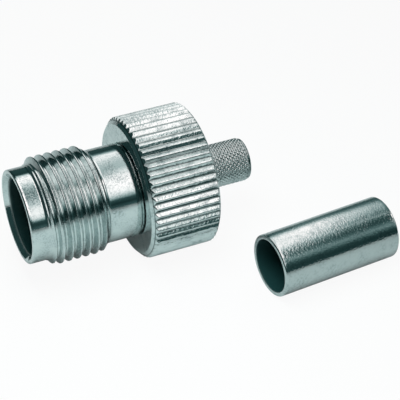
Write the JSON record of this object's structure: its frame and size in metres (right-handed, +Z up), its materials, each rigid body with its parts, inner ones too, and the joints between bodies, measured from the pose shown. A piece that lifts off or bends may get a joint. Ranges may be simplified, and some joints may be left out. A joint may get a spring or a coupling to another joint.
{
  "type": "coaxial cable jack",
  "caption": "Threaded coaxial jack with a straight-knurled collar and a diamond-knurled crimp stem, its plain tube ferrule lying beside it.",
  "frame": {"origin": "centre of the bounding box's bottom, on the surface that the collar and the ferrule lie on", "axes": "+X along the jack's axis, from its mating mouth towards the cable; +Z up"},
  "size_m": [0.0354, 0.0232, 0.0148],
  "materials": {
    "shell_nickel": "nickel-plated, polished turning",
    "body_nickel": "nickel-plated, knurled",
    "insulator_ptfe": "turned PTFE, satin",
    "contact_gold": "gold-plated",
    "ferrule_nickel": "nickel-plated, drawn tube"
  },
  "bodies": {
    "root": {"threaded_shell": "shell_nickel", "rear_body": "body_nickel", "front_insulator": "insulator_ptfe", "rear_insulator": "insulator_ptfe", "socket_contact": "contact_gold", "crimp_ferrule": "ferrule_nickel"}
  },
  "joints": []
}
